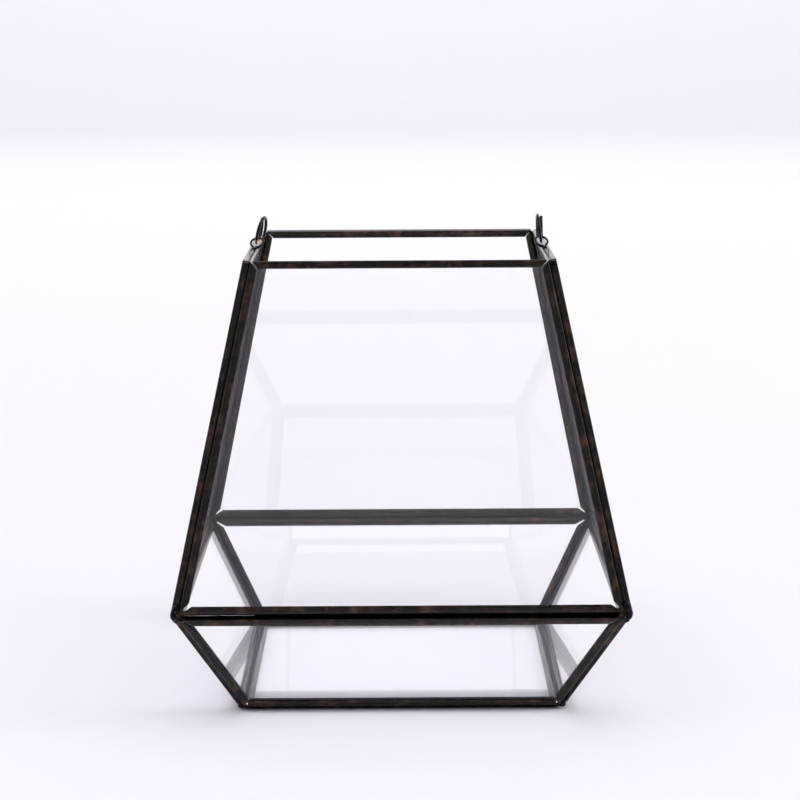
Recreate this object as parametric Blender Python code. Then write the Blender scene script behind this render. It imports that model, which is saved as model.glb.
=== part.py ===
"""Geometric hanging planter: nine glass panes, each framed in its own metal
channel, soldered corner to corner into two stacked square frustums with an
open top, and hung by two loose wire rings.

Metres, +Z up. The origin is on the floor under the middle of the base.
The front of the planter looks along -Y.
"""
import math

import bmesh
import bpy
from mathutils import Matrix, Vector

# The glass box, measured over the inner faces of its panes.
GIRDLE_INNER = 0.1516    # widest square, where upper and lower panes meet
TOP_INNER = 0.1018       # square of the open mouth
BASE_INNER = 0.1104      # square of the floor pane
GIRDLE_HEIGHT = 0.0397   # floor to the inner edge of the girdle
TOP_HEIGHT = 0.1576      # floor to the inner edge of the mouth

# The channel that frames every pane, and the glass in it.
GLASS_THICKNESS = 0.0020
CHANNEL_WALL = 0.0003
GLASS_PLAY = 0.0001      # between a glass face and the channel's flange
GLASS_EDGE_PLAY = 0.0003  # between a glass edge and the channel's web
CHANNEL_FLANGE = 0.0026  # depth of a flange, from the outside of the web
BEND_RADIUS = 0.00035    # outside of the bend from web to flange
CHANNEL_WIDTH = GLASS_THICKNESS + 2 * (CHANNEL_WALL + GLASS_PLAY)

# How frames and rails meet.
FRAME_GAP = 0.0002       # each frame stands this far back from a shared edge
MITRE_GAP = 0.00015      # each rail end stands this far back from its mitre
ACUTE_MITRE_SPREAD = 0.34   # extra set-back at an acute corner, per depth
OBTUSE_MITRE_SPREAD = 0.08  # extra set-back at any other corner, per depth
ACUTE_LIMIT = 88.0       # degrees; a corner sharper than this counts as acute

# Solder lumps in the corners: half width across, half depth, half height.
SOLDER_GAP = 0.00025
GIRDLE_SOLDER = {
    "front_right": (0.0024, 0.0022, 0.0042),
    "back_right": (0.0022, 0.0021, 0.0037),
    "back_left": (0.0022, 0.0022, 0.0036),
    "front_left": (0.0023, 0.0021, 0.0036),
}
BASE_SOLDER = (0.0020, 0.0018, 0.0014)
SOLDER_FLOOR_GAP = 0.0002
GIRDLE_SOLDER_REACH = 0.0019  # lump centre, outward of the inner corner
BASE_SOLDER_REACH = 0.0017
SOLDER_LUMPINESS = 0.07

# Hanging rings, and the small wire eyelets that hold them on the top rails.
HANGER_Y = -0.0095       # both hangers stand a little in front of the middle
RING_RADIUS = 0.0048     # of the wire's centre line
RING_WIRE = 0.0012
RING_PITCH = 0.0014      # between turns, where the ends lie side by side
RING_OVERLAP = 98.0      # degrees that the ends pass each other, at the back
RING_START = -41.0       # the lower end, in degrees above the horizontal
RING_LEAN = {"left": 12.5, "right": 4.5}   # degrees from upright, inward
RING_YAW = {"left": -9.0, "right": -3.0}    # degrees about the upright
RING_DROP = 0.0002       # its foot hangs this far below the eyelet's centre
EYELET_RADIUS = 0.0023   # of the wire's centre line
EYELET_WIRE = 0.00085
EYELET_GAP = 14.0        # degrees between its ends
EYELET_SEAT = 0.0002     # under the wire, on the web
EYELET_IN = 0.0005       # its centre, outward of the web's inner edge
EYELET_TIP = 11.0        # degrees that its inner end tips up
EYELET_LAY = 52.0        # degrees that it leans back from upright
WIRE_SIDES_RESOLUTION = 3

TOP_HALF = TOP_INNER / 2
GIRDLE_HALF = GIRDLE_INNER / 2
BASE_HALF = BASE_INNER / 2
UPPER_LEAN = math.atan2(GIRDLE_HALF - TOP_HALF, TOP_HEIGHT - GIRDLE_HEIGHT)


def clear_scene():
    for item in list(bpy.data.objects):
        bpy.data.objects.remove(item, do_unlink=True)


def material(name, colour, roughness, metallic, transmission=0.0):
    made = bpy.data.materials.new(name)
    made.use_nodes = True
    shader = made.node_tree.nodes["Principled BSDF"]
    shader.inputs["Base Color"].default_value = (*colour, 1.0)
    shader.inputs["Roughness"].default_value = roughness
    shader.inputs["Metallic"].default_value = metallic
    shader.inputs["Transmission Weight"].default_value = transmission
    return made


def add_object(name, data, look, matrix=Matrix.Identity(4)):
    made = bpy.data.objects.new(name, data)
    made.data.materials.append(look)
    made.matrix_world = matrix
    bpy.context.scene.collection.objects.link(made)
    return made


def mesh_from(bm, name):
    bmesh.ops.recalc_face_normals(bm, faces=bm.faces)
    mesh = bpy.data.meshes.new(name)
    bm.to_mesh(mesh)
    bm.free()
    return mesh


def hide_as_cutter(item):
    item.hide_render = True
    item.display_type = "WIRE"


def cut(item, cutter):
    """The exact solver leaves slivers open where four frames meet in a point."""
    step = item.modifiers.new("Cut", "BOOLEAN")
    step.operation = "DIFFERENCE"
    step.solver = "MANIFOLD"
    step.object = cutter


# The panes: inner-face corners, counter-clockwise as seen from outside, and
# the name of the edge that starts at each corner.

def pane_layout():
    def wall(low_half, low_z, high_half, high_z):
        return [Vector((-low_half, -low_half, low_z)),
                Vector((low_half, -low_half, low_z)),
                Vector((high_half, -high_half, high_z)),
                Vector((-high_half, -high_half, high_z))]

    upper = wall(GIRDLE_HALF, GIRDLE_HEIGHT, TOP_HALF, TOP_HEIGHT)
    lower = wall(BASE_HALF, CHANNEL_WIDTH, GIRDLE_HALF, GIRDLE_HEIGHT)
    wall_edges = ("bottom", "right", "top", "left")
    panes = {}
    for turns, side in enumerate(("front", "right", "back", "left")):
        spin = Matrix.Rotation(math.radians(90 * turns), 3, "Z")
        panes["upper_" + side] = ([spin @ corner for corner in upper], wall_edges)
        panes["lower_" + side] = ([spin @ corner for corner in lower], wall_edges)
    floor = [Vector((x * BASE_HALF, y * BASE_HALF, CHANNEL_WIDTH))
             for x, y in ((1, -1), (-1, -1), (-1, 1), (1, 1))]
    panes["base"] = (floor, ("front", "left", "back", "right"))
    return panes


def pane_normal(corners):
    return (corners[1] - corners[0]).cross(corners[2] - corners[1]).normalized()


def inset_corner(corners, index, depth):
    """A corner of the pane, moved inward so both its edges move by depth."""
    here = corners[index]
    ahead = (corners[(index + 1) % len(corners)] - here).normalized()
    behind = (corners[index - 1] - here).normalized()
    half_angle = ahead.angle(behind) / 2
    return here + (ahead + behind).normalized() * depth / math.sin(half_angle)


def slab(corners, inset, low, high):
    """Bmesh of the pane's outline, from low to high along its outward normal."""
    normal = pane_normal(corners)
    bm = bmesh.new()
    outline = [bm.verts.new(inset_corner(corners, index, inset) + normal * low)
               for index in range(len(corners))]
    face = bm.faces.new(outline)
    grown = bmesh.ops.extrude_face_region(bm, geom=[face])["geom"]
    moved = [part for part in grown if isinstance(part, bmesh.types.BMVert)]
    bmesh.ops.translate(bm, verts=moved, vec=normal * (high - low))
    return bm


def build_glass(name, corners, look):
    inset = FRAME_GAP + CHANNEL_WALL + GLASS_EDGE_PLAY
    low = CHANNEL_WALL + GLASS_PLAY
    sheet = slab(corners, inset, low, low + GLASS_THICKNESS)
    add_object("glass_" + name, mesh_from(sheet, "glass_" + name), look)


# The channel rails.

def bend(centre_depth, centre_height, start):
    """The outside of one bend, as points turning 90 degrees from start."""
    steps = 2
    points = []
    for step in range(steps + 1):
        angle = math.radians(start + 90 * step / steps)
        points.append((centre_depth + BEND_RADIUS * math.cos(angle),
                       centre_height + BEND_RADIUS * math.sin(angle)))
    return points


def channel_profile():
    """U section: depth runs into the pane, height runs outward through it."""
    inner_height = CHANNEL_WALL
    outer_height = CHANNEL_WIDTH - CHANNEL_WALL
    return (bend(BEND_RADIUS, BEND_RADIUS, 180)
            + [(CHANNEL_FLANGE, 0.0), (CHANNEL_FLANGE, inner_height),
               (CHANNEL_WALL, inner_height), (CHANNEL_WALL, outer_height),
               (CHANNEL_FLANGE, outer_height), (CHANNEL_FLANGE, CHANNEL_WIDTH)]
            + bend(BEND_RADIUS, CHANNEL_WIDTH - BEND_RADIUS, 90))


def mitre(corners, index):
    """Set-back of a rail end from its corner: at the web, and per depth."""
    here = corners[index]
    ahead = corners[(index + 1) % len(corners)] - here
    behind = corners[index - 1] - here
    half_angle = ahead.angle(behind) / 2
    is_acute = 2 * half_angle < math.radians(ACUTE_LIMIT)
    spread = ACUTE_MITRE_SPREAD if is_acute else OBTUSE_MITRE_SPREAD
    return MITRE_GAP / math.sin(half_angle), 1 / math.tan(half_angle) + spread


def build_rail(name, corners, index, look):
    following = (index + 1) % len(corners)
    start = inset_corner(corners, index, FRAME_GAP)
    end = inset_corner(corners, following, FRAME_GAP)
    along = (end - start).normalized()
    normal = pane_normal(corners)
    depth = normal.cross(along)
    start_setback, start_slope = mitre(corners, index)
    end_setback, end_slope = mitre(corners, following)
    length = (end - start).length

    bm = bmesh.new()
    near = [bm.verts.new((0.0, *point)) for point in channel_profile()]
    grown = bmesh.ops.extrude_face_region(bm, geom=[bm.faces.new(near)])["geom"]
    far = [part for part in grown if isinstance(part, bmesh.types.BMVert)]
    for vertex in near:
        vertex.co.x = start_setback + vertex.co.y * start_slope
    for vertex in far:
        vertex.co.x = length - end_setback - vertex.co.y * end_slope
    place = Matrix((along, depth, normal)).transposed().to_4x4()
    place.translation = start
    add_object(name, mesh_from(bm, name), look, place)


# Solder: lumps that fill the outside of a corner, up to the frames.

def build_formers(panes, look):
    """Hidden solids of all that a solder lump has to stay clear of."""
    bm = bmesh.new()
    for half, height in ((TOP_HALF, TOP_HEIGHT), (GIRDLE_HALF, GIRDLE_HEIGHT),
                         (BASE_HALF, CHANNEL_WIDTH)):
        for x, y in ((-1, -1), (1, -1), (1, 1), (-1, 1)):
            bm.verts.new((x * half, y * half, height))
    bmesh.ops.convex_hull(bm, input=bm.verts)
    formers = {"inside": add_object("former_inside", mesh_from(bm, "inside"), look)}
    for name, (corners, _) in panes.items():
        thick = slab(corners, FRAME_GAP - SOLDER_GAP, -SOLDER_GAP,
                     CHANNEL_WIDTH + SOLDER_GAP)
        formers[name] = add_object("former_" + name, mesh_from(thick, name), look)
    for former in formers.values():
        hide_as_cutter(former)
    return formers


def build_solder(name, centre, outward_angle, size, phase, formers, look):
    """A lumpy ellipsoid, cut to the frames and kept above the floor."""
    bm = bmesh.new()
    bmesh.ops.create_icosphere(bm, subdivisions=3, radius=1.0)
    for vertex in bm.verts:
        x, y, z = vertex.co
        lump = math.sin(4.1 * x + phase) * math.cos(3.3 * z - phase) * math.sin(2.7 * y + 1)
        vertex.co *= 1 + SOLDER_LUMPINESS * lump
    bmesh.ops.scale(bm, vec=size, verts=bm.verts)
    place = Matrix.Translation(centre) @ Matrix.Rotation(outward_angle, 4, "Z")
    blob = add_object(name, mesh_from(bm, name), look, place)
    for former in formers:
        cut(blob, former)


def build_all_solder(panes, look):
    formers = build_formers(panes, look)
    corners = ("front_right", "back_right", "back_left", "front_left")
    for turns, corner in enumerate(corners):
        angle = math.radians(90 * turns - 45)
        outward = Vector((math.cos(angle), math.sin(angle), 0))
        upper = [formers["upper_" + side] for side in corner.split("_")]
        lower = [formers["lower_" + side] for side in corner.split("_")]
        across, depth, half_height = GIRDLE_SOLDER[corner]
        middle = outward * (math.sqrt(2) * GIRDLE_HALF + GIRDLE_SOLDER_REACH)
        build_solder("solder_girdle_" + corner,
                     middle + Vector((0, 0, GIRDLE_HEIGHT)), angle,
                     (depth, across, half_height), turns,
                     upper + lower + [formers["inside"]], look)
        across, depth, half_height = BASE_SOLDER
        lump_height = half_height * (1 + SOLDER_LUMPINESS) + SOLDER_FLOOR_GAP
        middle = outward * (math.sqrt(2) * BASE_HALF + BASE_SOLDER_REACH)
        build_solder("solder_base_" + corner,
                     middle + Vector((0, 0, lump_height)), angle,
                     (depth, across, half_height), turns + 0.5,
                     lower + [formers["base"], formers["inside"]], look)


# Wire work on the left and right top rails.

def wire(name, points, diameter, look, matrix):
    curve = bpy.data.curves.new(name, "CURVE")
    curve.dimensions = "3D"
    curve.bevel_depth = diameter / 2
    curve.bevel_resolution = WIRE_SIDES_RESOLUTION
    curve.use_fill_caps = True
    spline = curve.splines.new("POLY")
    spline.points.add(len(points) - 1)
    for slot, point in zip(spline.points, points):
        slot.co = (*point, 1.0)
    return add_object(name, curve, look, matrix)


def eyelet_turn(side):
    """The eyelet's own axes: X runs outward over the web, Z to its far side."""
    sign = 1 if side == "right" else -1
    return (Matrix.Rotation(math.radians(EYELET_TIP), 4, "Y")
            @ Matrix.Rotation(math.radians(-sign * EYELET_LAY), 4, "X"))


def eyelet_path(seat_angle):
    """A nearly closed turn about the Y axis, open where it meets the web."""
    steps = 36
    points = []
    for step in range(steps + 1):
        turned = EYELET_GAP / 2 + (360 - EYELET_GAP) * step / steps
        angle = seat_angle + math.radians(turned)
        points.append((EYELET_RADIUS * math.cos(angle), 0.0,
                       EYELET_RADIUS * math.sin(angle)))
    return points


def ring_path(back):
    """Over one turn round the X axis, its lowest point at the origin.

    back is 1 where the ring's ends lie toward +Y, and -1 toward -Y."""
    steps = 52
    sweep = 360 + RING_OVERLAP
    bottom = 270 - RING_START
    points = []
    for step in range(steps + 1):
        turned = sweep * step / steps
        angle = math.radians(RING_START + turned)
        points.append((RING_PITCH * (turned - bottom) / 360,
                       back * RING_RADIUS * math.cos(angle),
                       RING_RADIUS * (1 + math.sin(angle))))
    return points


def build_hanger(side, look):
    """One eyelet on its rail's web, and the loose ring that turns in it."""
    spin = Matrix.Rotation(0 if side == "right" else math.pi, 4, "Z")
    turn = eyelet_turn(side)
    web_outward = Vector((math.cos(UPPER_LEAN), 0, math.sin(UPPER_LEAN)))
    web_up = Vector((-math.sin(UPPER_LEAN), 0, math.cos(UPPER_LEAN)))
    across, away = (web_up.dot(turn.col[axis].to_3d()) for axis in (0, 2))
    drop = EYELET_RADIUS * math.hypot(across, away)
    rise = EYELET_SEAT + EYELET_WIRE / 2 + drop - FRAME_GAP
    centre = spin @ (Vector((TOP_HALF, 0, TOP_HEIGHT))
                     + web_outward * EYELET_IN + web_up * rise)
    centre.y = HANGER_Y
    place = Matrix.Translation(centre) @ spin
    wire("eyelet_" + side, eyelet_path(math.atan2(-away, -across)), EYELET_WIRE,
         look, place @ turn)
    foot = Matrix.Translation((0, 0, -RING_DROP))
    yaw = Matrix.Rotation(math.radians(RING_YAW[side]), 4, "Z")
    lean = Matrix.Rotation(-math.radians(RING_LEAN[side]), 4, "Y")
    path = ring_path(1 if side == "right" else -1)
    wire("ring_" + side, path, RING_WIRE, look, place @ foot @ yaw @ lean)


def main():
    clear_scene()
    glass = material("clear_glass", (0.93, 0.95, 0.97), 0.02, 0.0, 1.0)
    channel = material("blackened_channel", (0.025, 0.022, 0.021), 0.3, 1.0)
    solder = material("brown_solder", (0.10, 0.062, 0.045), 0.45, 1.0)
    wire_look = material("blackened_wire", (0.02, 0.018, 0.018), 0.25, 1.0)
    panes = pane_layout()
    for name, (corners, edges) in panes.items():
        build_glass(name, corners, glass)
        for index, edge in enumerate(edges):
            build_rail(f"rail_{name}_{edge}", corners, index, channel)
    build_all_solder(panes, solder)
    for side in ("left", "right"):
        build_hanger(side, wire_look)


main()
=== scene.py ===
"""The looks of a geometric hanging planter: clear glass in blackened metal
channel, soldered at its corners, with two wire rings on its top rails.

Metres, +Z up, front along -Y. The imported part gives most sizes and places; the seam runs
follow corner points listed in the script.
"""
import math

import bmesh
import bpy
import numpy as np
from mathutils import Matrix, Vector


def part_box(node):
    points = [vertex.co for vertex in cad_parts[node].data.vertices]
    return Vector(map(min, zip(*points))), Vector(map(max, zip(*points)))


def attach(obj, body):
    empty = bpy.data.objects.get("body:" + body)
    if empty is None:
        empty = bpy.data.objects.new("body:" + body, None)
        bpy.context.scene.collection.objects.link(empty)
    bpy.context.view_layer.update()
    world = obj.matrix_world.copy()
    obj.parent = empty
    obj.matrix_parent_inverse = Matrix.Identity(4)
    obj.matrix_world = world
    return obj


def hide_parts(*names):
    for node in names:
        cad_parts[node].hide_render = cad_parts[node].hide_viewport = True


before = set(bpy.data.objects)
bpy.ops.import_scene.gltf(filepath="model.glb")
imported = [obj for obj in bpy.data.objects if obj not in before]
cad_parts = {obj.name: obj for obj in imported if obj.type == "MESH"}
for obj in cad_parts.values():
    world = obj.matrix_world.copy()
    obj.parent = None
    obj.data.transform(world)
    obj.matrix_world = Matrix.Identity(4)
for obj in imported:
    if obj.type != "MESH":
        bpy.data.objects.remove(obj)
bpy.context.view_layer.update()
MM = 0.001


# ---- Glass panes ----------------------------------------------------------
# Nine panes of clear float glass, 2 mm thick, cut with a wheel and left with
# plain edges that the channel hides. They are flat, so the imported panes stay
# and get their glass: polished, with a faint haze of handling.

def linear(hex_colour):
    """An sRGB hex colour as a linear RGBA tuple."""
    shares = [int(hex_colour[i:i + 2], 16) / 255 for i in (1, 3, 5)]
    return (*(s / 12.92 if s <= 0.04045 else ((s + 0.055) / 1.055) ** 2.4
              for s in shares), 1.0)


def add_node(tree, kind, inputs=None, **settings):
    """Adds a node; an input is given as a value or as the socket it reads."""
    node = tree.nodes.new(kind)
    for name, value in settings.items():
        setattr(node, name, value)
    for name, value in (inputs or {}).items():
        if isinstance(value, bpy.types.NodeSocket):
            tree.links.new(value, node.inputs[name])
        else:
            node.inputs[name].default_value = value
    return node


def new_material(name):
    """An empty material and its tree, with an output node."""
    material = bpy.data.materials.new(name)
    material.use_nodes = True
    tree = material.node_tree
    tree.nodes.clear()
    return material, tree, add_node(tree, "ShaderNodeOutputMaterial")


def ramp(tree, factor, stops):
    """A colour ramp over factor, through (place, hex colour) stops."""
    node = add_node(tree, "ShaderNodeValToRGB", {"Fac": factor})
    elements = node.color_ramp.elements
    while len(elements) < len(stops):
        elements.new(0.5)
    for element, (place, colour) in zip(elements, stops):
        element.position = place
        element.color = linear(colour)
    return node.outputs["Color"]


# Float glass: colourless at 2 mm, with a mirror finish on both faces. Lamps
# and scattered light pass straight through it, so its shadow stays faint.
float_glass, tree, output = new_material("clear_float_glass")
place = add_node(tree, "ShaderNodeTexCoord").outputs["Object"]
HAZE_SIZE = 22 * MM
haze = add_node(tree, "ShaderNodeTexNoise",
                {"Vector": place, "Scale": 1 / HAZE_SIZE, "Detail": 4.0})
smear = add_node(tree, "ShaderNodeMapRange",
                 {"Value": haze.outputs["Fac"], "From Min": 0.5, "From Max": 0.8,
                  "To Min": 0.0, "To Max": 0.03})
glass_shader = add_node(tree, "ShaderNodeBsdfPrincipled",
                        {"Base Color": linear("#ffffff"), "IOR": 1.52,
                         "Transmission Weight": 1.0,
                         "Roughness": smear.outputs["Result"]})
clear = add_node(tree, "ShaderNodeBsdfTransparent", {"Color": linear("#fdfdfe")})
ray = add_node(tree, "ShaderNodeLightPath")
for_scatter = add_node(tree, "ShaderNodeMixShader",
                       {"Fac": ray.outputs["Is Diffuse Ray"]})
tree.links.new(glass_shader.outputs[0], for_scatter.inputs[1])
tree.links.new(clear.outputs[0], for_scatter.inputs[2])
for_lamps = add_node(tree, "ShaderNodeMixShader",
                     {"Fac": ray.outputs["Is Shadow Ray"]})
tree.links.new(for_scatter.outputs[0], for_lamps.inputs[1])
tree.links.new(clear.outputs[0], for_lamps.inputs[2])
tree.links.new(for_lamps.outputs[0], output.inputs["Surface"])

for name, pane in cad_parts.items():
    if name.startswith("glass_"):
        pane.data.materials.clear()
        pane.data.materials.append(float_glass)


# ---- Channel rails ----------------------------------------------------------
# Every pane's edges are wrapped in U channel folded from thin metal strip,
# mitred at its ends. It is blackened and lacquered, so it is nearly black head
# on and turns pale and mirror-like at a low angle; brown shows where it rubs.

RAIL_EDGE_ROUND = 0.07 * MM   # the strip's sheared edges are hardly broken
RAIL_CUT_SPACING = 4 * MM     # between the cuts that let a rail bend a little
RAIL_WAVER = 0.07 * MM        # how far the folded strip strays from straight
RAIL_WAVER_SIZE = 9 * MM


def select_only(item):
    bpy.ops.object.select_all(action="DESELECT")
    item.select_set(True)
    bpy.context.view_layer.objects.active = item


def copy_of(node, name):
    """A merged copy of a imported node, with its flat faces made whole."""
    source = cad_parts[node]
    piece = bpy.data.objects.new(name, source.data.copy())
    bpy.context.scene.collection.objects.link(piece)
    piece.data.materials.clear()
    select_only(piece)
    bpy.ops.object.mode_set(mode="EDIT")
    bpy.ops.mesh.select_all(action="SELECT")
    bpy.ops.mesh.remove_doubles(threshold=0.001 * MM)
    bpy.ops.mesh.dissolve_limited(angle_limit=math.radians(1.0))
    bpy.ops.object.mode_set(mode="OBJECT")
    return piece


def add_modifier(piece, kind, **settings):
    """Adds a modifier and applies it."""
    modifier = piece.modifiers.new(kind.title(), kind)
    for name, value in settings.items():
        setattr(modifier, name, value)
    select_only(piece)
    bpy.ops.object.modifier_apply(modifier=modifier.name)


def noise_field(name, size, depth=2):
    """A cloud texture for a Displace modifier, with lumps of that size."""
    field = bpy.data.textures.new(name, "CLOUDS")
    field.noise_scale = size
    field.noise_depth = depth
    return field


def cut_across(piece, axis, low, high, spacing):
    """Cuts the mesh square across axis, every spacing from low to high."""
    count = int((high - low) / spacing)
    bpy.ops.object.mode_set(mode="EDIT")
    for step in range(1, count + 1):
        bpy.ops.mesh.select_all(action="SELECT")
        bpy.ops.mesh.bisect(plane_co=axis * (low + (high - low) * step / (count + 1)),
                            plane_no=axis)
    bpy.ops.object.mode_set(mode="OBJECT")


def long_axis(points):
    """The unit direction that a long piece runs in."""
    return Vector(np.linalg.svd(points - points.mean(0), full_matrices=False)[2][0])


def mesh_points(piece):
    flat = np.empty(len(piece.data.vertices) * 3, np.float32)
    piece.data.vertices.foreach_get("co", flat)
    return flat.reshape(-1, 3).astype(float)


def store_run(piece, axis, offset):
    """Keeps each point's place along the piece, and its place across it."""
    points = mesh_points(piece)
    side = axis.cross(Vector((0.3, 0.5, 0.8))).normalized()
    rise = axis.cross(side)
    run = np.stack([points @ np.array(axis) + offset, points @ np.array(side),
                    points @ np.array(rise)], axis=1)
    attribute = piece.data.attributes.new("run", "FLOAT_VECTOR", "POINT")
    attribute.data.foreach_set("vector", run.astype(np.float32).ravel())


# Blackened channel: a dark patina on copper alloy under clear lacquer. Streaks
# follow the strip, copper shows in scattered rubs and along sharp edges, and
# flux has dried in a few grey smudges.
STREAK_LENGTH = 30 * MM
STREAK_WIDTH = 0.7 * MM
RUB_SIZE = 7 * MM
SMUDGE_SIZE = 9 * MM
BLOTCH_SIZE = 5 * MM
PIT_SIZE = 0.35 * MM

channel_metal, tree, output = new_material("blackened_lacquered_channel")
place = add_node(tree, "ShaderNodeTexCoord").outputs["Object"]
run = add_node(tree, "ShaderNodeAttribute", attribute_name="run").outputs["Vector"]
stretched = add_node(tree, "ShaderNodeMapping",
                     {"Vector": run,
                      "Scale": (1 / STREAK_LENGTH, 1 / STREAK_WIDTH, 1 / STREAK_WIDTH)})
streaks = add_node(tree, "ShaderNodeTexNoise",
                   {"Vector": stretched.outputs["Vector"], "Scale": 1.0, "Detail": 5.0,
                    "Roughness": 0.6}).outputs["Fac"]
rubs = add_node(tree, "ShaderNodeTexNoise",
                {"Vector": place, "Scale": 1 / RUB_SIZE, "Detail": 6.0,
                 "Roughness": 0.65}).outputs["Fac"]
blotches = add_node(tree, "ShaderNodeTexNoise",
                    {"Vector": place, "Scale": 1 / BLOTCH_SIZE, "Detail": 4.0}
                    ).outputs["Fac"]
tone = add_node(tree, "ShaderNodeMix", {"Factor": 0.35, "A": blotches, "B": streaks})
patina = ramp(tree, tone.outputs["Result"],
              [(0.36, "#100c0b"), (0.52, "#1f1714"), (0.64, "#4a362c")])
rubbed = add_node(tree, "ShaderNodeMapRange",
                  {"Value": rubs, "From Min": 0.62, "From Max": 0.74})
edge = add_node(tree, "ShaderNodeNewGeometry").outputs["Pointiness"]
worn_edge = add_node(tree, "ShaderNodeMapRange",
                     {"Value": edge, "From Min": 0.56, "From Max": 0.68,
                      "To Max": 0.45})
bare = add_node(tree, "ShaderNodeMath",
                {0: rubbed.outputs["Result"], 1: worn_edge.outputs["Result"]},
                operation="MAXIMUM")
coppery = add_node(tree, "ShaderNodeMix",
                   {"Factor": bare.outputs["Value"], "A": patina,
                    "B": linear("#6a4535")}, data_type="RGBA")
smudges = add_node(tree, "ShaderNodeTexNoise",
                   {"Vector": place, "Scale": 1 / SMUDGE_SIZE, "Detail": 7.0,
                    "Roughness": 0.7, "Distortion": 0.6}).outputs["Fac"]
flux = add_node(tree, "ShaderNodeMapRange",
                {"Value": smudges, "From Min": 0.66, "From Max": 0.74, "To Max": 0.5})
colour = add_node(tree, "ShaderNodeMix",
                  {"Factor": flux.outputs["Result"], "A": coppery.outputs["Result"],
                   "B": linear("#5d5c66")}, data_type="RGBA")
gloss = add_node(tree, "ShaderNodeMapRange",
                 {"Value": streaks, "From Min": 0.3, "From Max": 0.8,
                  "To Min": 0.22, "To Max": 0.42})
pits = add_node(tree, "ShaderNodeTexNoise",
                {"Vector": place, "Scale": 1 / PIT_SIZE, "Detail": 3.0})
grain = add_node(tree, "ShaderNodeBump",
                 {"Height": pits.outputs["Fac"], "Strength": 0.25,
                  "Distance": 0.03 * MM})
soft_grain = add_node(tree, "ShaderNodeBump",
                      {"Height": streaks, "Strength": 0.12, "Distance": 0.04 * MM})
drawn = add_node(tree, "ShaderNodeBump",
                 {"Height": streaks, "Strength": 0.35, "Distance": 0.05 * MM,
                  "Normal": grain.outputs["Normal"]})
shader = add_node(tree, "ShaderNodeBsdfPrincipled",
                  {"Base Color": colour.outputs["Result"], "Metallic": 1.0,
                   "Roughness": gloss.outputs["Result"], "Coat Weight": 0.45,
                   "Coat Roughness": 0.1, "Normal": drawn.outputs["Normal"],
                   "Coat Normal": soft_grain.outputs["Normal"]})
tree.links.new(shader.outputs[0], output.inputs["Surface"])

waver = noise_field("channel_waver", RAIL_WAVER_SIZE)
rail_names = sorted(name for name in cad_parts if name.startswith("rail_"))
for order, node in enumerate(rail_names):
    rail = copy_of(node, "channel_" + node[5:])
    add_modifier(rail, "BEVEL", width=RAIL_EDGE_ROUND, segments=2,
                 limit_method="ANGLE", angle_limit=math.radians(50))
    points = mesh_points(rail)
    axis = long_axis(points)
    reach = points @ np.array(axis)
    cut_across(rail, axis, reach.min(), reach.max(), RAIL_CUT_SPACING)
    add_modifier(rail, "DISPLACE", texture=waver, texture_coords="LOCAL",
                 strength=RAIL_WAVER, mid_level=0.9)
    store_run(rail, axis, order * 0.37)
    rail.data.materials.append(channel_metal)
    bpy.ops.object.shade_smooth_by_angle(angle=math.radians(35))
    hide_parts(node)
    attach(rail, "planter")


# ---- Corner solder ----------------------------------------------------------
# Tin solder run into the outside of each corner, where four frames meet at the
# girdle and three at the base. It sets in soft lumps, and the patina turns it
# a dull brown with a greyer skin.

LUMP_GRAIN = 0.12 * MM    # of the mesh that the drops are run together in
LUMP_RIPPLE = 0.28 * MM
LUMP_RIPPLE_SIZE = 1.3 * MM

# The drops of a girdle lump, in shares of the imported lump's size: lift, shift
# inward, width and height. Then its drops along both rails, by shares of its
# width: x and y inward, and z up.
GIRDLE_DROPS = ((0, 0.07, 0.88, 0.6), (0.22, 0.14, 0.8, 0.55),
                (-0.16, 0.16, 0.72, 0.5), (-0.06, 0.28, 0.8, 0.5))
GIRDLE_ARM_DROPS = ((0.46, 0.1, 0.2), (0.46, 0.1, -0.24),
                    (0.1, 0.46, 0.2), (0.1, 0.46, -0.24))
GIRDLE_ARM_SIZE = (0.9, 0.36)    # across and up

# The drops of a base lump: x and y inward by shares of its width, lift by a
# share of its height, and size.
BASE_DROPS = ((0.08, 0.08, 0, 0.82), (0.25, 0.25, 0.08, 0.8), (0.08, 0.08, 0.45, 0.82),
              (0.5, 0.1, 0, 0.76), (0.1, 0.5, 0, 0.76))

solder_metal, tree, output = new_material("brown_patina_solder")
place = add_node(tree, "ShaderNodeTexCoord").outputs["Object"]
clouds = add_node(tree, "ShaderNodeTexNoise",
                  {"Vector": place, "Scale": 1 / (2.2 * MM), "Detail": 6.0,
                   "Roughness": 0.6}).outputs["Fac"]
skin = ramp(tree, clouds, [(0.4, "#141213"), (0.56, "#211c1b"), (0.64, "#3d2e26"),
                           (0.75, "#5b4132")])
# Painted highlights: small pale grey specks mixed into the solder's colour stand in for
# glints on tiny beads of solder.
painted_glint_cells = add_node(tree, "ShaderNodeTexVoronoi",
                 {"Vector": place, "Scale": 1 / (1.1 * MM)}).outputs["Distance"]
painted_glint_spot = add_node(tree, "ShaderNodeMapRange",
                     {"Value": painted_glint_cells, "From Min": 0.13, "From Max": 0.07})
colour = add_node(tree, "ShaderNodeMix",
                  {"Factor": painted_glint_spot.outputs["Result"], "A": skin,
                   "B": linear("#a8a4a3")}, data_type="RGBA")
dull = add_node(tree, "ShaderNodeMapRange",
                {"Value": clouds, "To Min": 0.3, "To Max": 0.55})
lumps = add_node(tree, "ShaderNodeBump",
                 {"Height": clouds, "Strength": 0.45, "Distance": 0.1 * MM})
shader = add_node(tree, "ShaderNodeBsdfPrincipled",
                  {"Base Color": colour.outputs["Result"], "Metallic": 1.0,
                   "Roughness": dull.outputs["Result"],
                   "Normal": lumps.outputs["Normal"]})
tree.links.new(shader.outputs[0], output.inputs["Surface"])

ripple = noise_field("solder_ripple", LUMP_RIPPLE_SIZE)


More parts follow.
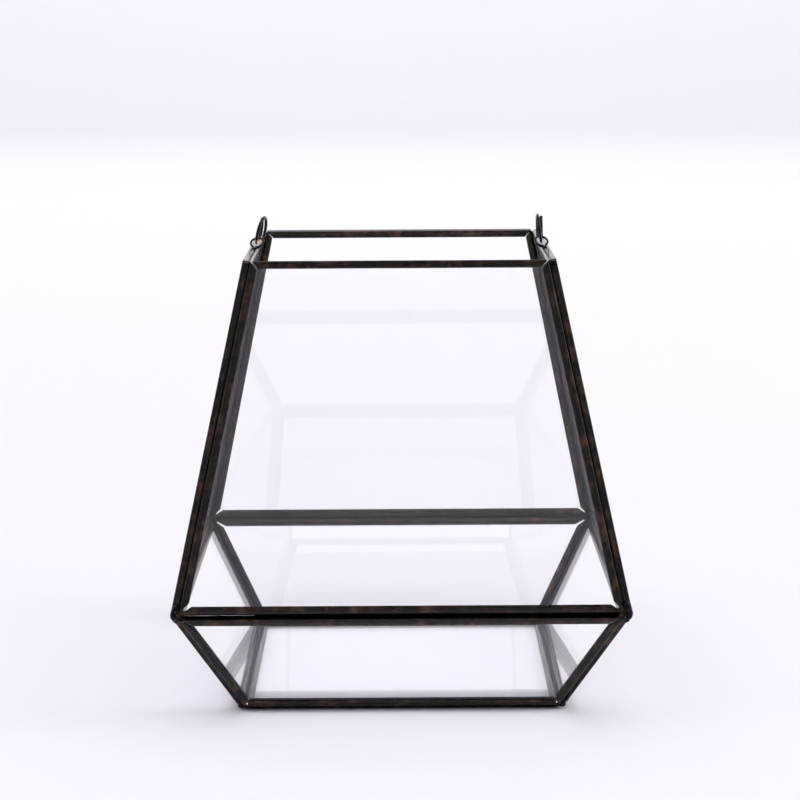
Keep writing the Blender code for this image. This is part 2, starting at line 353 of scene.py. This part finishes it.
def add_lump(name, drops, grain, ripple_height=LUMP_RIPPLE):
    """One lump of solder, run together from drops given as (centre, size)."""
    bpy.ops.object.select_all(action="DESELECT")
    made = []
    for centre, size in drops:
        bpy.ops.mesh.primitive_ico_sphere_add(subdivisions=4, radius=0.5,
                                              location=centre, scale=size)
        bpy.ops.object.transform_apply(location=True, rotation=True, scale=True)
        made.append(bpy.context.object)
    for drop in made:
        drop.select_set(True)
    lump = made[0]
    bpy.context.view_layer.objects.active = lump
    if len(made) > 1:
        bpy.ops.object.join()
    lump.name = name
    add_modifier(lump, "REMESH", mode="VOXEL", voxel_size=grain)
    add_modifier(lump, "SMOOTH", factor=0.5, iterations=3)
    add_modifier(lump, "DISPLACE", texture=ripple, texture_coords="LOCAL",
                 strength=ripple_height, mid_level=0.8)
    lump.data.materials.append(solder_metal)
    select_only(lump)
    bpy.ops.object.shade_smooth()
    return lump


for node in sorted(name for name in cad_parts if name.startswith("solder_")):
    low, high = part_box(node)
    middle = (low + high) / 2
    size = high - low
    inward = Vector((-math.copysign(1, middle.x), -math.copysign(1, middle.y), 0))
    if "girdle" in node:
        drops = [(middle + Vector((0, 0, size.z * lift)) + inward * size.x * shift,
                  Vector((size.x * wide, size.y * wide, size.z * tall)))
                 for lift, shift, wide, tall in GIRDLE_DROPS]
        across, up = GIRDLE_ARM_SIZE
        drops += [(middle + Vector((inward.x * x, inward.y * y, z)) * size.x,
                   Vector((size.x * across, size.x * across, size.z * up)))
                  for x, y, z in GIRDLE_ARM_DROPS]
    else:
        drops = [(middle + Vector((inward.x * x, inward.y * y, 0)) * size.x
                  + Vector((0, 0, size.z * lift)), size * share)
                 for x, y, lift, share in BASE_DROPS]
    lump = add_lump("lump_" + node[7:], drops, LUMP_GRAIN)
    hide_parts(node)
    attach(lump, "planter")


# ---- Mouth solder -----------------------------------------------------------
# A small fillet of the same solder closes the notch between the frames in each
# corner of the open mouth.

MOUTH_LUMP = Vector((2.4, 2.4, 1.5)) * MM
mouth_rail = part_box("rail_upper_right_top")
mouth_top = mouth_rail[1].z
corner_in = mouth_rail[1].x - MOUTH_LUMP.x * 0.62
for x_side, x_name in ((-1, "left"), (1, "right")):
    for y_side, y_name in ((-1, "front"), (1, "back")):
        centre = Vector((x_side * corner_in, y_side * corner_in,
                         mouth_top - MOUTH_LUMP.z * 0.62))
        fillet = add_lump(f"mouth_fillet_{y_name}_{x_name}", [(centre, MOUTH_LUMP)],
                          LUMP_GRAIN)
        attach(fillet, "planter")


# ---- Seam solder ------------------------------------------------------------
# Two frames meet along each edge of the box, and a thin run of solder closes
# the seam from outside, deep in the groove. The one across the front runs thin
# at its left end, so a slit of light shows there.

SEAM_WIDTH = 0.95 * MM
SEAM_THIN = 0.62 * MM
SEAM_OUT = 0.3 * MM       # from the frames' shared inner edge to its middle
SEAM_RIPPLE = 0.18 * MM
SEAM_CUT_SPACING = 1.5 * MM
SEAM_SHORT = 26 * MM
SEAM_CLEAR = 0.5 * MM       # left free at each end, for the corner solder

seam_metal, tree, output = new_material("dark_seam_solder")
place = add_node(tree, "ShaderNodeTexCoord").outputs["Object"]
soot = add_node(tree, "ShaderNodeTexNoise",
                {"Vector": place, "Scale": 1 / (1.5 * MM), "Detail": 5.0}).outputs["Fac"]
skin = ramp(tree, soot, [(0.4, "#0b0a0a"), (0.6, "#17120f"), (0.75, "#2b201a")])
shader = add_node(tree, "ShaderNodeBsdfPrincipled",
                  {"Base Color": skin, "Metallic": 1.0, "Roughness": 0.5})
tree.links.new(shader.outputs[0], output.inputs["Surface"])


def add_seam(name, start, end, width=SEAM_WIDTH):
    """A rippled run of solder, six-sided, from start to end."""
    along = end - start
    axis = along.normalized()
    bpy.ops.object.select_all(action="DESELECT")
    bpy.ops.mesh.primitive_cylinder_add(
        vertices=6, radius=width / 2, depth=along.length,
        location=(start + end) / 2, rotation=axis.to_track_quat("Z", "Y").to_euler())
    bpy.ops.object.transform_apply(location=True, rotation=True, scale=True)
    seam = bpy.context.object
    seam.name = name
    low, high = sorted((start.dot(axis), end.dot(axis)))
    cut_across(seam, axis, low, high, SEAM_CUT_SPACING)
    add_modifier(seam, "DISPLACE", texture=ripple, texture_coords="LOCAL",
                 strength=SEAM_RIPPLE, mid_level=0.5)
    seam.data.materials.append(seam_metal)
    bpy.ops.object.shade_smooth()
    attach(seam, "planter")


base_corner = Vector((55.2, 55.2, 2.8)) * MM
girdle_corner = Vector((75.8, 75.8, 39.7)) * MM
mouth_corner = Vector((50.9, 50.9, 157.6)) * MM
CORNERS = ("front_right", "back_right", "back_left", "front_left")
SIDES = ("right", "back", "left", "front")
for turn in range(4):
    spin = Matrix.Rotation(math.radians(90 * turn - 90), 3, "Z")
    further = Matrix.Rotation(math.radians(90 * turn), 3, "Z")
    base, girdle, mouth = (spin @ corner for corner in
                           (base_corner, girdle_corner, mouth_corner))
    corner_out = (spin @ Vector((1, 1, 0))).normalized() * SEAM_OUT
    for part, low, high in (("lower", base, girdle), ("upper", girdle, mouth)):
        clear = (high - low).normalized() * SEAM_CLEAR
        add_seam(f"seam_{part}_{CORNERS[turn]}", low + clear + corner_out,
                 high - clear + corner_out)
    side_out = (spin @ Vector((1, 0, 0))) * SEAM_OUT
    run = (further @ girdle_corner - girdle).normalized()
    short = SEAM_SHORT if SIDES[turn] == "front" else SEAM_CLEAR
    add_seam(f"seam_girdle_{SIDES[turn]}", girdle + run * short + side_out,
             further @ girdle_corner - run * SEAM_CLEAR + side_out)
    if SIDES[turn] == "front":
        add_seam("seam_girdle_front_thin", girdle + run * SEAM_CLEAR + side_out,
                 girdle + run * (short + 1 * MM) + side_out, SEAM_THIN)
    add_seam(f"seam_base_{SIDES[turn]}", base + run * SEAM_CLEAR + side_out,
             further @ base_corner - run * SEAM_CLEAR + side_out)


# ---- Eyelets and hanging rings ------------------------------------------------
# A small eyelet of thin wire, soldered at a tilt on the rail, holds each ring of
# thicker wire. Both are blackened; copper shows where the left ring rubs.

def make_wire_metal(name, copper_low, copper_high):
    """Blackened copper wire, rubbed bare in spots between two heights."""
    metal, tree, output = new_material(name)
    place = add_node(tree, "ShaderNodeTexCoord").outputs["Object"]
    clouds = add_node(tree, "ShaderNodeTexNoise",
                      {"Vector": place, "Scale": 1 / (1.8 * MM), "Detail": 5.0}
                      ).outputs["Fac"]
    patina = ramp(tree, clouds, [(0.35, "#0a0808"), (0.6, "#140f0e"), (0.8, "#2c201a")])
    height = add_node(tree, "ShaderNodeSeparateXYZ", {"Vector": place}).outputs["Z"]
    foot = add_node(tree, "ShaderNodeMapRange",
                    {"Value": height, "From Min": copper_high, "From Max": copper_low})
    spots = add_node(tree, "ShaderNodeTexNoise",
                     {"Vector": place, "Scale": 1 / (1.6 * MM), "Detail": 2.0})
    rub = add_node(tree, "ShaderNodeMath",
                   {0: foot.outputs["Result"], 1: spots.outputs["Fac"]},
                   operation="MULTIPLY")
    copper = add_node(tree, "ShaderNodeMapRange",
                      {"Value": rub.outputs["Value"], "From Min": 0.2, "From Max": 0.32})
    colour = add_node(tree, "ShaderNodeMix",
                      {"Factor": copper.outputs["Result"], "A": patina,
                       "B": linear("#cf7c33")}, data_type="RGBA")
    gloss = add_node(tree, "ShaderNodeMapRange",
                     {"Value": clouds, "To Min": 0.14, "To Max": 0.34})
    dents = add_node(tree, "ShaderNodeBump",
                     {"Height": clouds, "Strength": 0.3, "Distance": 0.08 * MM})
    shader = add_node(tree, "ShaderNodeBsdfPrincipled",
                      {"Base Color": colour.outputs["Result"], "Metallic": 1.0,
                       "Roughness": gloss.outputs["Result"], "Coat Weight": 0.3,
                       "Coat Roughness": 0.08, "Normal": dents.outputs["Normal"]})
    tree.links.new(shader.outputs[0], output.inputs["Surface"])
    return metal


def round_wire(node, name, body, metal):
    """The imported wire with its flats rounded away."""
    wire = copy_of(node, name)
    add_modifier(wire, "SUBSURF", levels=2, render_levels=2)
    wire.data.materials.append(metal)
    bpy.ops.object.shade_smooth_by_angle(angle=math.radians(60))
    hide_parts(node)
    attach(wire, body)
    return wire


ring_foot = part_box("ring_left")[0].z
eyelet_metal = make_wire_metal("blackened_eyelet_wire", 0, 0.01 * MM)
ring_metal = make_wire_metal("blackened_ring_wire", ring_foot + 0.6 * MM,
                             ring_foot + 3.0 * MM)
PAD_SIZE = Vector((3.0, 3.2, 0.9)) * MM
for side in ("left", "right"):
    eyelet = round_wire("eyelet_" + side, "wire_eyelet_" + side, "planter", eyelet_metal)
    round_wire("ring_" + side, "wire_ring_" + side, side + "_ring",
               ring_metal if side == "left" else eyelet_metal)
    points = mesh_points(eyelet)
    lowest = Vector(points[points[:, 2].argmin()])
    pad = add_lump("eyelet_solder_" + side,
                   [(lowest + Vector((0, 0, 0.05 * MM)), PAD_SIZE)], LUMP_GRAIN / 2,
                   LUMP_RIPPLE / 2)
    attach(pad, "planter")


# ---- Floor and backdrop -------------------------------------------------------
# A seamless sheet of pale paper: flat under the planter, swept up behind it.

FLOOR_HALF = 3.6
SWEEP_Y = 3.3
SWEEP_RADIUS = 2.4
WALL_HEIGHT = 3.6

bpy.ops.object.select_all(action="DESELECT")
bpy.ops.mesh.primitive_plane_add(size=1, location=(0, 0, 0))
paper = bpy.context.object
paper.name = "paper_sweep"
bpy.ops.object.mode_set(mode="EDIT")
sheet = bmesh.from_edit_mesh(paper.data)
for vertex in sheet.verts:
    vertex.co.x = math.copysign(FLOOR_HALF, vertex.co.x)
    vertex.co.y = SWEEP_Y if vertex.co.y > 0 else -FLOOR_HALF
    vertex.select = vertex.co.y > 0
sheet.select_flush(True)
bmesh.update_edit_mesh(paper.data)
bpy.ops.mesh.extrude_region_move(
    TRANSFORM_OT_translate={"value": (0, 0, WALL_HEIGHT)})
bpy.ops.mesh.select_all(action="DESELECT")
sheet = bmesh.from_edit_mesh(paper.data)
for edge_line in sheet.edges:
    edge_line.select = all(abs(v.co.y - SWEEP_Y) < MM and abs(v.co.z) < MM
                           for v in edge_line.verts)
bmesh.update_edit_mesh(paper.data)
bpy.ops.mesh.bevel(offset=SWEEP_RADIUS, segments=24)
bpy.ops.object.mode_set(mode="OBJECT")
bpy.ops.object.shade_smooth()

pale_paper, tree, output = new_material("pale_paper")
shader = add_node(tree, "ShaderNodeBsdfPrincipled",
                  {"Base Color": linear("#eae9ed"), "Roughness": 0.9,
                   "Specular IOR Level": 0.2})
tree.links.new(shader.outputs[0], output.inputs["Surface"])
paper.data.materials.append(pale_paper)


# ---- Light ------------------------------------------------------------------
# A white tent: a large soft box overhead, softer fill from both sides, and one
# for the backdrop. The metal and glass mirror a pale room, darker in front.

def add_softbox(name, place, aim, size, watts, colour):
    bpy.ops.object.light_add(type="AREA", location=place)
    lamp = bpy.context.object
    lamp.name = name
    lamp.data.shape = "RECTANGLE"
    lamp.data.size, lamp.data.size_y = size
    lamp.data.energy = watts
    lamp.data.color = linear(colour)[:3]
    lamp.rotation_euler = (Vector(aim) - Vector(place)).to_track_quat("-Z", "Y").to_euler()


add_softbox("overhead", (0.1, 0.2, 2.4), (0.1, 0.2, 0), (5.5, 5.0), 70, "#ffffff")
add_softbox("fill_left", (-1.6, -0.5, 0.9), (0, 0, 0.1), (1.0, 1.2), 4.8, "#fbfaff")
add_softbox("fill_right", (1.6, -0.3, 0.9), (0, 0, 0.1), (1.0, 1.2), 12.5, "#ffffff")
add_softbox("backdrop_wash", (0, 1.6, 2.3), (0, 3.6, 1.2), (4.0, 1.0), 36, "#ffffff")

world = bpy.data.worlds.new("pale_room")
world.use_nodes = True
tree = world.node_tree
compass = add_node(tree, "ShaderNodeTexCoord").outputs["Generated"]
south = add_node(tree, "ShaderNodeSeparateXYZ", {"Vector": compass}).outputs["Y"]
room = ramp(tree, add_node(tree, "ShaderNodeMapRange",
                           {"Value": south, "From Min": -0.75, "From Max": -0.15}
                           ).outputs["Result"],
            [(0.0, "#3c3b3e"), (1.0, "#d8d7dc")])
tree.links.new(room, tree.nodes["Background"].inputs["Color"])
tree.nodes["Background"].inputs["Strength"].default_value = 0.8
bpy.context.scene.world = world


# ---- Camera -----------------------------------------------------------------
# A short telephoto, a little above the open mouth and aimed slightly down.
# Angles are in degrees, and the lens is in millimetres.

CAMERA_PLACE = (-0.0008, -0.8763, 0.2504)
CAMERA_PITCH = 9.71
CAMERA_YAW = -0.051
CAMERA_ROLL = -0.309
CAMERA_LENS = 109.1

bpy.ops.object.camera_add(location=CAMERA_PLACE,
                          rotation=(math.radians(90 - CAMERA_PITCH), 0,
                                    math.radians(CAMERA_YAW)))
camera = bpy.context.object
camera.rotation_euler.rotate_axis("Z", math.radians(CAMERA_ROLL))
camera.data.lens = CAMERA_LENS
camera.data.sensor_width = 36
bpy.context.scene.camera = camera
bpy.context.scene.view_settings.view_transform = "Standard"
